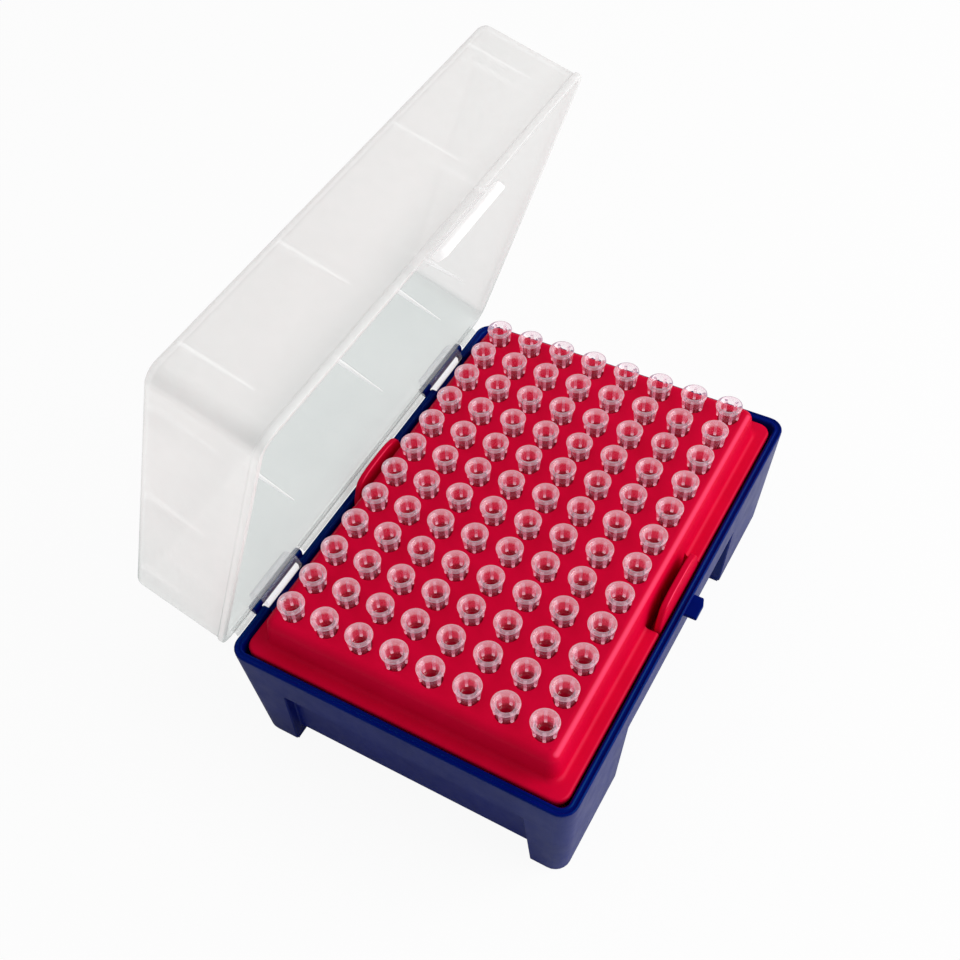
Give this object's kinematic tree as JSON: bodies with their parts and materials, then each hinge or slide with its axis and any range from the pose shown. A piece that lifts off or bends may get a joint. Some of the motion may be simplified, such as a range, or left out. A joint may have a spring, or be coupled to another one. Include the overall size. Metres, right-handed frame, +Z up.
{
  "type": "pipette tip box",
  "caption": "Rectangular hinged box holding a grid of ribbed pipette tips in a raised red tray, on a dark blue footed base with a clear lid standing open.",
  "frame": {"origin": "on the ground, below the middle of the overall length and depth with the lid open", "axes": "+X along the box, -Y towards the latch, +Y towards the hinge, +Z up"},
  "size_m": [0.1244, 0.1134, 0.1235],
  "materials": {
    "base_plastic": "satin moulded polypropylene, dark blue",
    "tray_plastic": "fine-textured moulded polypropylene, crimson",
    "lid_plastic": "clear, slightly milky polypropylene",
    "tip_plastic": "clear polypropylene"
  },
  "bodies": {
    "box": {"base": "base_plastic", "tray": "tray_plastic", "tips_1": "tip_plastic", "tips_2": "tip_plastic", "tips_3": "tip_plastic", "tips_4": "tip_plastic", "tips_5": "tip_plastic", "tips_6": "tip_plastic", "tips_7": "tip_plastic", "tips_8": "tip_plastic", "tips_9": "tip_plastic", "tips_10": "tip_plastic", "tips_11": "tip_plastic", "tips_12": "tip_plastic"},
    "lid": {"lid": "lid_plastic"}
  },
  "joints": [
    {"name": "lid_hinge", "type": "hinge", "parent": "box", "child": "lid", "pos_m": [0, 0.03426, 0.0333], "axis": [1, 0, 0], "range_deg": [-35, 70.8]}
  ]
}
